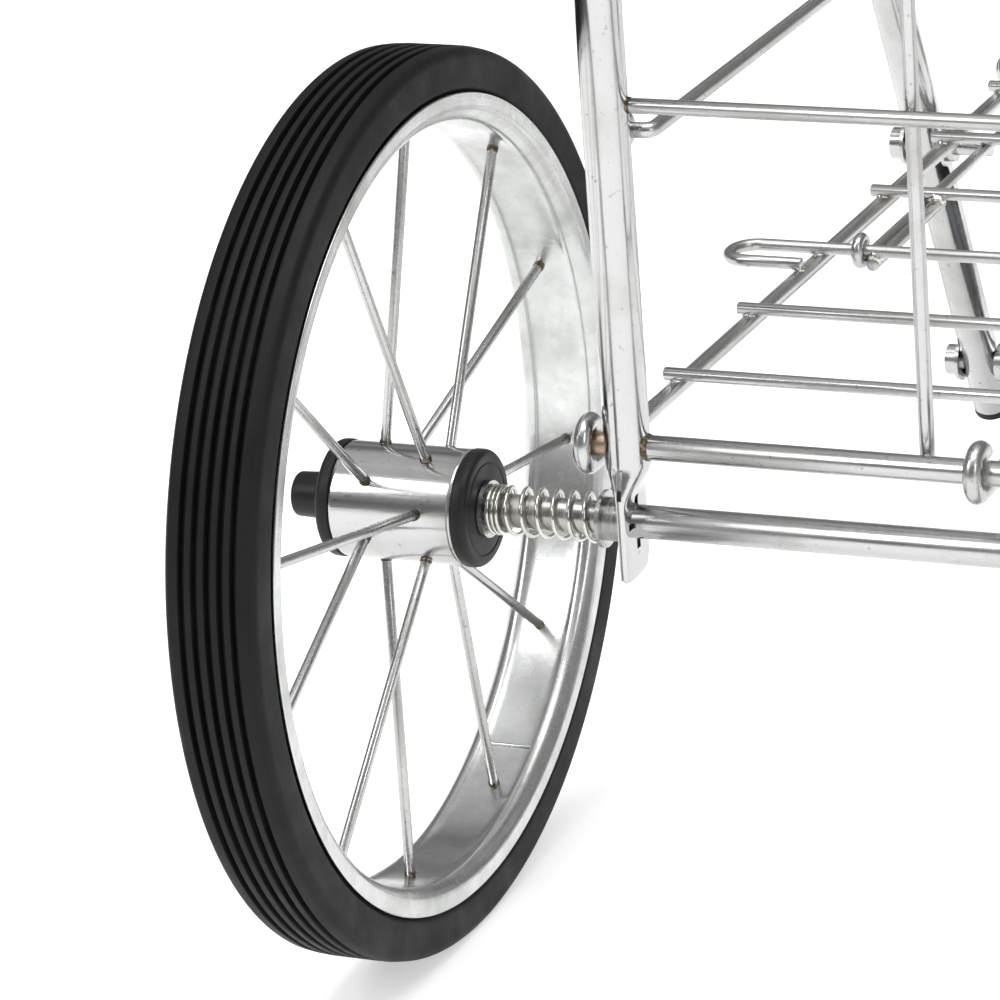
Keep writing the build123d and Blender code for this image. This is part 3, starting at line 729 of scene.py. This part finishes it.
# %% Spokes and their welds
for side, sign in SIDES:
    spokes = draw_bars(f"{side}_rear_spokes", PLATE["any"], 20)
    collars, spots = [], []
    for a, b, r in spokes:
        ends = sorted((Vector(a), Vector(b)), key=lambda p: (p - HUB[side]).yz.length)
        outward = (ends[1] - ends[0]).normalized()
        foot = ends[0] + outward * 0.0005
        collars.append(bar([foot, foot + outward * 0.0006], r * 1.16, 18, 0.35))
        head = ends[1] - outward * 0.0007
        spots.append(bead(head, (r * 1.12, r * 1.05, r * 1.05), 0.06))
    piece(f"{side}_spoke_collars", collars, f"{side}_rear_spokes", BURNT)
    piece(f"{side}_spoke_heads", spots, f"{side}_rear_spokes", BURNT)

# %% [markdown]
# The hub is a short length of bright tube, closed at each end by a moulded bush. The
# bush is a thick black disc with a raised ring round its bore, and a spigot inside.

# %% Hubs and bushes
def hub_outline(radius, half):
    return [(radius - 0.3, -half, 0.4), (radius, -half + 0.8, 0.5), (radius, half - 0.8, 0.5),
            (radius - 0.3, half, 0.4), (radius - 1.6, half, 0.3), (radius - 1.6, -half, 0.3)]


def bush_outline(radius, start, end, boss):
    """Spigot, flange and, on the outboard bush, a stepped boss."""
    spigot = radius - 2.0
    made = [(4.75, start - 9.0, 0), (spigot, start - 9.0, 0.3), (spigot, start, 0),
            (radius, start + 0.05, 0.4), (radius, end - 1.3, 0.9), (radius - 1.0, end, 0.8)]
    if boss:
        return made + [(12.4, end, 0.4), (11.6, end + 0.9, 0.5), (9.5, end + 0.9, 0.3),
                       (9.3, end + boss, 0.4), (4.75, end + boss, 0)]
    return made + [(13.2, end, 0.3), (12.9, end - 0.35, 0.3), (12.5, end, 0.3), (4.75, end, 0)]


for side, sign in SIDES:
    low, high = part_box(f"{side}_rear_hub")
    half, radius = (high.x - low.x) / 2 / MM, (high.z - low.z) / 2 / MM
    piece(f"{side}_hub_shell", [turned(hub_outline(radius, half), HUB[side])], f"{side}_rear_hub",
          TUBE_PLATE["x"], [f"{side}_rear_hub"])
    low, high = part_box(f"{side}_hub_bushes")
    wide = (high.z - low.z) / 2 / MM
    inboard = min(abs(low.x - HUB[side].x), abs(high.x - HUB[side].x)) / MM
    outboard = max(abs(low.x - HUB[side].x), abs(high.x - HUB[side].x)) / MM
    shapes = [turned(bush_outline(wide, half, inboard, 0), HUB[side], 96, -sign),
              turned(bush_outline(wide, half, inboard, outboard - inboard), HUB[side], 96, sign)]
    piece(f"{side}_bushes", shapes, f"{side}_hub_bushes", BLACK, [f"{side}_hub_bushes"], 50)

# %% [markdown]
# ## Rear axle
# The axle is one bar. Between the legs it is plated; outside them, under the springs,
# it is turned steel. A tapered cap is pushed over each end, and each spring sits
# between a washer at the hub and a collar at the leg.

# %% Axle and caps
axle_low, axle_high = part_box("rear_axle")
axle_r = (axle_high.z - axle_low.z) / 2
LEG_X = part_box("rear_leg_frame")[1].x - 6.35 * MM
piece("axle_middle", [bar([(-LEG_X, AXLE.y, AXLE.z), (LEG_X, AXLE.y, AXLE.z)], axle_r, 40)], "rear_axle",
      PLATE["x"], ["rear_axle"])
ends = [bar([(sign * (LEG_X - 0.001), AXLE.y, AXLE.z), (sign * axle_high.x, AXLE.y, AXLE.z)],
            axle_r - 0.00002, 40) for _, sign in SIDES]
piece("axle_ends", ends, "rear_axle", STEEL)

cap_low, cap_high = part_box("axle_caps")
cap_r, cap_end = (cap_high.z - cap_low.z) / 2 / MM, cap_high.x / MM
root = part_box("right_hub_bushes")[1].x / MM + 0.3
cap_outline = [(0, root, 0), (cap_r, root, 0.4), (cap_r, root + 1.6, 0.5), (cap_r - 0.4, root + 2.0, 0.3),
               (cap_r - 0.7, cap_end, 1.2), (0, cap_end, 0)]
piece("caps", [turned(cap_outline, (0, AXLE.y, AXLE.z), 64, sign) for _, sign in SIDES], "axle_caps",
      BLACK, ["axle_caps"], 50)

# %% [markdown]
# Each spring starts with three closed coils at the hub and then opens out. A helix is a
# route like any other: the angle runs on evenly and only the step along the axle
# changes, so the closed and the open coils join without a kink.

# %% Axle springs
def spring_route(node, sign):
    low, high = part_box(node)
    wire_r = 0.6 * MM
    coil_r = (high.z - low.z) / 2 - wire_r
    near, far = sorted((low.x, high.x), key=abs)
    start, end = far - sign * wire_r, near + sign * wire_r
    closed, open_turns, steps = 3.0, 6.0, 40
    tight = 1.35 * MM * closed
    total = int((closed + open_turns) * steps)
    loose = abs(end - start) - tight
    route = []
    for i in range(total + 1):
        turns = i / steps
        ease = max(0.0, turns - closed)
        travel = min(turns, closed) / closed * tight + ease / open_turns * loose
        a = 2 * math.pi * turns
        route.append((start - sign * travel, AXLE.y + coil_r * math.cos(a), AXLE.z + coil_r * math.sin(a)))
    return route, wire_r


for side, sign in SIDES:
    route, wire_r = spring_route(f"{side}_axle_spring", sign)
    piece(f"{side}_spring", [bar(route, wire_r, 14)], f"{side}_axle_spring", SPRING, [f"{side}_axle_spring"])

# %% [markdown]
# ## Rear legs
# Both legs and the top rail are one bent tube. Each foot is pressed flat and drilled
# for the axle. The foot is made of rings that change from a circle to a flat rounded
# slot, which is what the press does. A keyed slot is then cut through it, and a slit
# where the pressed tube wall did not close.

# %% Leg frame
TUBE = 6.35 * MM
FOOT_LOW = (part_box("rear_leg_frame")[0].z - AXLE.z) / MM


def foot(x):
    """Rings from the low end up (height above the axle, half thickness, half depth, squareness)."""
    shape = [(FOOT_LOW, 0.7, 5.2, 4.0), (FOOT_LOW + 0.5, 1.3, 5.8, 5.0), (-14.6, 1.5, 7.4, 6.0),
             (-11.0, 1.5, 8.5, 6.0), (0.0, 1.5, 8.5, 6.0), (6.5, 1.5, 8.5, 6.0), (8.0, 1.9, 8.5, 4.5),
             (10.0, 2.8, 8.2, 3.4), (12.5, 4.2, 7.6, 2.6), (15.0, 5.6, 6.9, 2.2),
             (17.0, 6.35, 6.35, 2.0), (18.0, 6.35, 6.35, 2.0)]
    count = 48
    laid = []
    for height, thick, deep, square in shape:
        lean = -0.25 * max(0.0, -11.0 - height)
        ring = []
        for k in range(count):
            a = 2 * math.pi * k / count
            c, s = math.cos(a), math.sin(a)
            px = math.copysign(abs(c) ** (2 / square), c) * thick
            py = math.copysign(abs(s) ** (2 / square), s) * deep + lean
            ring.append((x + px * MM, AXLE.y + py * MM, AXLE.z + height * MM))
        laid.append(ring)
    return ringed(laid)


def block(place, size):
    corners = [(sx, sy, sz) for sz in (-1, 1) for sx, sy in ((-1, -1), (1, -1), (1, 1), (-1, 1))]
    points = [tuple(p + s * h / 2 for p, s, h in zip(place, signs, size)) for signs in corners]
    return points, [(3, 2, 1, 0), (4, 5, 6, 7), (0, 1, 5, 4), (1, 2, 6, 5), (2, 3, 7, 6), (3, 0, 4, 7)]


def cut(target, cutters):
    """Cuts closed shapes out of a piece, one after another, with exact booleans."""
    for points, faces in cutters:
        mesh = bpy.data.meshes.new("cutter")
        mesh.from_pydata(points, [], faces)
        cutter = bpy.data.objects.new("cutter", mesh)
        bpy.context.scene.collection.objects.link(cutter)
        modifier = target.modifiers.new("cut", "BOOLEAN")
        modifier.operation, modifier.solver, modifier.object = "DIFFERENCE", "EXACT", cutter
        bpy.context.view_layer.update()
        graph = bpy.context.evaluated_depsgraph_get()
        target.data = bpy.data.meshes.new_from_object(target.evaluated_get(graph))
        target.modifiers.clear()
        bpy.data.objects.remove(cutter)
    target.data.polygons.foreach_set("use_smooth", [True] * len(target.data.polygons))
    target.data.set_sharp_from_angle(angle=math.radians(38))
    print(target.name, "has", len(target.data.vertices), "points after the cuts")


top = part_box("rear_leg_frame")[1].z - TUBE
bend = 35 * MM
route = bent([(-LEG_X, AXLE.y, AXLE.z + 17 * MM), (-LEG_X, AXLE.y, top), (LEG_X, AXLE.y, top),
              (LEG_X, AXLE.y, AXLE.z + 17 * MM)], bend, 16)
piece("leg_tube", [bar(route, TUBE, 48, 0.02)], "rear_leg_frame", TUBE_PLATE["z"], ["rear_leg_frame"])
feet = piece("leg_feet", [foot(sign * LEG_X) for _, sign in SIDES], "rear_leg_frame", TUBE_PLATE["z"])
cutters = []
for _, sign in SIDES:
    x = sign * LEG_X
    cutters.append(block((x, AXLE.y, AXLE.z), (12 * MM, 2.4 * MM, 15.5 * MM)))
    cutters.append(block((x, AXLE.y, AXLE.z), (12 * MM, 12.2 * MM, 2.0 * MM)))
    cutters.append(block((x, AXLE.y - 8 * MM, AXLE.z + 12.5 * MM), (1.3 * MM, 7 * MM, 8 * MM)))
cut(feet, cutters)

# %% [markdown]
# Where a wire or rod meets a leg there is a thin ring of burnt weld, and where two
# wires cross, resistance welding leaves a small plated lump between them. These marks
# are placed from the bars that were just measured.

# %% Rear panel
def weld_ring(place, along, radius, thick=0.00025, length=0.0007):
    direction = np.array(along, float)
    place = np.array(place, float)
    return bar([place - direction * length / 2, place + direction * length / 2], radius + thick, 20, 0.3)


def crossing_beads(first, second, size):
    """A lump where each bar of one set comes near each bar of the other."""
    lumps = []
    for a, b, r in first:
        for c, d, s in second:
            u, v, w = b - a, d - c, a - c
            uu, uv, vv, uw, vw = u @ u, u @ v, v @ v, u @ w, v @ w
            under = uu * vv - uv * uv
            if under < 1e-12:
                continue
            t, q = (uv * vw - vv * uw) / under, (uu * vw - uv * uw) / under
            p, o = a + u * t, c + v * q
            if -0.01 < t < 1.01 and -0.01 < q < 1.01 and np.linalg.norm(p - o) < (r + s) * 1.15:
                place = p + (o - p) * r / (r + s)
                lumps.append(bead(place, (size, size, size), 0.16))
    return lumps


def panel(prefix, rod_node):
    levels = draw_bars(f"{prefix}_level_wires", PLATE["x"])
    uprights = draw_bars(f"{prefix}_upright_wires", PLATE["z"])
    rod = straight_bars(rod_node)
    marks = []
    for a, b, r in levels:
        marks += [weld_ring(a, (1, 0, 0), r), weld_ring(b, (1, 0, 0), r)]
    piece(f"{prefix}_leg_welds", marks, f"{prefix}_level_wires", BURNT)
    lumps = crossing_beads(levels, uprights, 0.0019) + crossing_beads(rod, uprights, 0.0024)
    piece(f"{prefix}_wire_welds", lumps, f"{prefix}_upright_wires", SHINY_WELD)


panel("rear_panel", "rear_cross_rod")

# %% [markdown]
# The cross rod runs through both legs. Outside each leg it is bare of plate and copper
# coloured, and its end is peened over like a rivet so that the floor's eye stays on.

# %% Cross rods
def cross_rod(node, name):
    low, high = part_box(node)
    r = (high.z - low.z) / 2
    y, z = (low.y + high.y) / 2, (low.z + high.z) / 2
    leg = LEG_X + 1.5 * MM
    piece(f"{name}_bar", [bar([(-leg, y, z), (leg, y, z)], r, 32)], node, PLATE["x"], [node])
    stubs, rivets = [], []
    for _, sign in SIDES:
        end = sign * high.x
        stubs.append(bar([(sign * (leg - 0.0005), y, z), (end - sign * 0.0022, y, z)], r - 0.00015, 28))
        head = [(0, high.x / MM - 2.4, 0), (r / MM + 0.9, high.x / MM - 2.4, 0.5),
                (r / MM + 0.7, high.x / MM - 1.0, 0.9), (r / MM - 1.2, high.x / MM, 0.9), (0, high.x / MM, 0)]
        rivets.append(turned(head, (0, y, z), 40, sign))
    piece(f"{name}_stubs", stubs, node, COPPER)
    piece(f"{name}_rivets", rivets, node, SHINY_WELD, sharp=60)
    rings_at_legs = [weld_ring((sign * (LEG_X - TUBE * 0.93), y, z), (1, 0, 0), r, 0.0003, 0.0008)
                     for _, sign in SIDES]
    piece(f"{name}_leg_welds", rings_at_legs, node, BURNT)


cross_rod("rear_cross_rod", "rear_rod")

# %% [markdown]
# ## Floor
# Four rods run front to back. Their ends are curled round the cross rods: the outer
# ones into closed eyes, the inner ones into open hooks. Six wires lie across them, and
# the third turns back on itself at each side as a finger loop.

# %% Floor rods
FLOOR_PIN, FRONT_PIN = PINS["floor_fold"], PINS["front_panel_fold"]
stringer_sets = solids("floor_stringers")
stringer_bars = []
rods = []
for corners in stringer_sets:
    low, high = corners.min(axis=0), corners.max(axis=0)
    r = (high[0] - low[0]) / 2
    x = (high[0] + low[0]) / 2
    eye_r = FLOOR_PIN.z - (low[2] + r)
    wrap = 272 if abs(x) > 0.2 else 235
    rear = about_pin(x, FLOOR_PIN, eye_r, -90 - wrap, wrap)
    front = about_pin(x, FRONT_PIN, eye_r, -90, wrap)
    rods.append(bar(rear + front, r, 24, 0.3))
    stringer_bars.append((np.array(rear[-1]), np.array(front[0]), r))
piece("floor_rods", rods, "floor_stringers", PLATE["y"], ["floor_stringers"])

# %% Floor wires
wires, wire_bars = [], []
for corners in solids("floor_cross_wires"):
    low, high = corners.min(axis=0), corners.max(axis=0)
    r = (high[2] - low[2]) / 2
    z = (high[2] + low[2]) / 2
    if high[1] - low[1] > 3 * r:
        y, back, tip = high[1] - r, low[1] + r, high[0] - r
        inner = stringer_bars[0][0][0]
        end = abs(inner) - 1.0 * MM
        turns = [(-end, back, z), (-tip, back, z), (-tip, y, z), (tip, y, z), (tip, back, z), (end, back, z)]
        loop = bent(turns, (y - back) / 2 - 0.4 * MM, 14)
        wires.append(bar(loop, r, 24))
        wire_bars += [(np.array((-tip, y, z)), np.array((tip, y, z)), r),
                      (np.array((-tip, back, z)), np.array((-end, back, z)), r),
                      (np.array((end, back, z)), np.array((tip, back, z)), r)]
    else:
        ends = (np.array((low[0], (low[1] + high[1]) / 2, z)), np.array((high[0], (low[1] + high[1]) / 2, z)))
        wires.append(bar(ends, r, 24))
        wire_bars.append((*ends, r))
piece("floor_wires", wires, "floor_cross_wires", PLATE["x"], ["floor_cross_wires"])
stops = draw_bars("latch_stop_wires", PLATE["y"])
lumps = crossing_beads(wire_bars, stringer_bars, 0.0017)
piece("floor_welds", lumps, "floor_stringers", SHINY_WELD)
piece("stop_welds", crossing_beads(stops, wire_bars, 0.0028), "latch_stop_wires", SHINY_WELD)

# %% [markdown]
# ## Latch rods and side rails
# A latch rod hangs by a ring on the third floor wire and ends in a hook that lies
# beside the stay bolt. The side rails are plain rods with both ends turned outward
# into eyes on the uprights.

# %% Latch rods
stay = middle("stay_bolts")
for side, sign in SIDES:
    node = f"{side}_latch_rod"
    low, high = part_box(node)
    r = (high.x - low.x) / 2
    x = (high.x + low.x) / 2
    pin = PINS[f"{side}_latch_swing"]
    ring_r = 1.9 * MM + 0.1 * MM + r
    hook_r = pin.z - ring_r - stay.z
    ring = about_pin(x, pin, ring_r, 15, 255)
    hook = about_pin(x, stay, hook_r, 90, -100)
    piece(f"{side}_latch", [bar(ring + hook, r, 24, 0.3)], node, PLATE["y"], [node])

# %% Side rails
def eye_ring(place):
    return turned([(2.3, -3, 0.2), (4.5, -3, 0.5), (4.5, 3, 0.5), (2.3, 3, 0.2)], place, 32)


def rail_eyes(ahead):
    """An eye and its welded neck for each rail, on both uprights of a panel."""
    made = []
    for pin in RAIL_PINS:
        for _, sign in SIDES:
            x, y, z = sign * LEG_X, pin.y + ahead, pin.z
            made += [eye_ring((x, y, z)), bead((x, y - 4.2 * MM, z), (0.0022, 0.0016, 0.0032), 0.06)]
    return made


RAIL_PINS = [PINS[f"side_rail_fold_{level}"] for level in range(1, 5)]
for level, pin in enumerate(RAIL_PINS, 1):
    for side, sign in SIDES:
        node = f"{side}_side_rail_{level}"
        low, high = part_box(node)
        r = (high.z - low.z) / 2
        rail_x = min((low.x, high.x), key=abs) + sign * r
        pin_x = max((low.x, high.x), key=abs)
        route = bent([(pin_x, low.y + r, pin.z), (rail_x, low.y + r, pin.z), (rail_x, high.y - r, pin.z),
                      (pin_x, high.y - r, pin.z)], r + 0.6 * MM, 8)
        piece(f"{node}_drawn", [bar(route, r, 24)], node, PLATE["y"], [node])
piece("rear_rail_eyes", rail_eyes(0), "rear_leg_frame", TUBE_PLATE["any"], sharp=50)

# %% [markdown]
# ## Front panel
# The front panel is a lower bent tube with four level wires and four uprights. It
# stands on its own cross rod and folds down against the rear panel.

# %% Front panel
frame_low, frame_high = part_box("front_panel_frame")
top = frame_high.z - TUBE
foot_z = frame_low.z
front_y = FRONT_PIN.y
route = bent([(-LEG_X, front_y, foot_z), (-LEG_X, front_y, top), (LEG_X, front_y, top),
              (LEG_X, front_y, foot_z)], bend, 16)
piece("front_tube", [bar(route, TUBE, 48, 0.12)], "front_panel_frame", TUBE_PLATE["z"], ["front_panel_frame"])
piece("front_rail_eyes", rail_eyes(FRONT_PIN.y - FLOOR_PIN.y), "front_panel_frame",
      TUBE_PLATE["any"], sharp=50)
panel("front_panel", "front_lower_rod")
cross_rod("front_lower_rod", "front_rod")

# %% [markdown]
# ## Handle frame
# One long bent tube makes both slanted sides and the bar that is held. It turns on two
# bolts at the top of the rear legs and carries the small front wheels at its lower end.
# Two pins of the frame give its slope, so its line needs no angle.

# %% Handle tube and grip
fold, front_axle = PINS["frame_fold"], PINS["left_front_wheel_spin"]
slope = (front_axle - fold).normalized()
grip_middle = middle("handle_grip")
SLANT_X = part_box("handle_tube")[1].x - TUBE
lower_end = front_axle + slope * 0.020
rows = [(-SLANT_X, lower_end.y, lower_end.z), (-SLANT_X, grip_middle.y, grip_middle.z),
        (SLANT_X, grip_middle.y, grip_middle.z), (SLANT_X, lower_end.y, lower_end.z)]
piece("handle_tube_drawn", [bar(bent(rows, 60 * MM, 24), TUBE, 48, 0.03)], "handle_tube",
      TUBE_PLATE["slant"], ["handle_tube"])

grip_low, grip_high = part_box("handle_grip")
grip_half, grip_r = grip_high.x / MM, (grip_high.z - grip_low.z) / 2 / MM
ribs = []
rib_count = 23
rib_pitch = (2 * grip_half - 30) / rib_count
for i in range(rib_count + 1):
    x = -grip_half + 15 + i * rib_pitch
    ribs += [(grip_r - 0.5, x - 1.3, 0.5), (grip_r - 1.3, x, 0.8), (grip_r - 0.5, x + 1.3, 0.5)]
grip_end = [(6.4, grip_half, 0.4), (grip_r - 1.5, grip_half, 1.5), (grip_r, grip_half - 3, 1.5),
            (grip_r, grip_half - 11, 1.2)]
grip_outline = [(r, -x, soft) for r, x, soft in grip_end] + ribs + grip_end[::-1]
piece("grip_sleeve", [turned(grip_outline, grip_middle, 72)], "handle_grip", FOAM, ["handle_grip"], 60)

# %% [markdown]
# ## Front wheels
# The small wheels are moulded grey centres with a black tyre. The tyre's crown is
# round and has two shallow grooves, and the centre is a thin web with a rim and a hub.

# %% Front wheels
def both_halves(half_outline):
    """A half outline, from its middle outward, with its mirror image in front of it."""
    return [(r, -x, soft) for r, x, soft in half_outline[::-1]] + half_outline


for side, sign in SIDES:
    centre = middle(f"{side}_front_tyre")
    low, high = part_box(f"{side}_front_tyre")
    radius, half = (high.z - low.z) / 2 / MM, (high.x - low.x) / 2 / MM
    wheel_low, wheel_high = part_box(f"{side}_front_wheel")
    core, hub_half = (wheel_high.z - wheel_low.z) / 2 / MM, (wheel_high.x - wheel_low.x) / 2 / MM
    half_tyre = [(radius, 2.3, 0.2), (radius - 1.1, 2.6, 0.2), (radius - 1.1, 3.6, 0.2),
                 (radius, 3.9, 0.2), (radius, 4.6, 1.0), (radius - 1.2, half - 3, 2.0),
                 (radius - 5, half, 1.8), (core + 1.5, half - 0.6, 0.5), (core, half - 2, 0.3)]
    front_rubber = rubber(f"{side}_front_rubber", centre)
    piece(f"{side}_small_tyre", [turned(both_halves(half_tyre), centre, 128)], f"{side}_front_tyre",
          front_rubber, [f"{side}_front_tyre"], 50)
    half_centre = [(core - 0.1, half - 2.0, 0.2), (core - 4.2, half - 2.2, 0.5), (core - 5, 3.0, 1.5),
                   (9.6, 3.0, 1.5), (9.0, hub_half - 2.5, 0.5), (8.2, hub_half, 0.8), (4.1, hub_half, 0.3)]
    ribs = []
    for k in range(6):
        a = math.radians(15 + 60 * k)
        reach = [centre + Vector((0, r * MM * math.cos(a), r * MM * math.sin(a))) for r in (8.5, core - 3.5)]
        ribs.append(bar(reach, 4.2 * MM, 12))
    piece(f"{side}_small_centre", [turned(both_halves(half_centre), centre, 96)] + ribs,
          f"{side}_front_wheel", GREY, [f"{side}_front_wheel"], 50)

# %% [markdown]
# ## Small hardware
# Bolts, nuts, washers, spacers and plugs keep their CAD shapes: they are turned parts,
# which CAD draws exactly. They only need their finishes.

# %% Hardware finishes
KEPT = {
    "stay_bolts": TUBE_PLATE["any"], "pivot_bolts": TUBE_PLATE["any"], "bolt_washers": PLATE["any"],
    "bolt_nuts": PLATE["any"], "front_axle": PLATE["x"], "front_axle_spacers": PLATE["x"],
    "spring_washers": PLATE["any"], "axle_collars": STEEL, "pivot_spacers": BLACK, "tube_end_plugs": BLACK,
}
for node, material in KEPT.items():
    kept = frame["nodes"][node]
    kept.data.materials.clear()
    kept.data.materials.append(material)
    print(node, "keeps its CAD shape in", material.name)
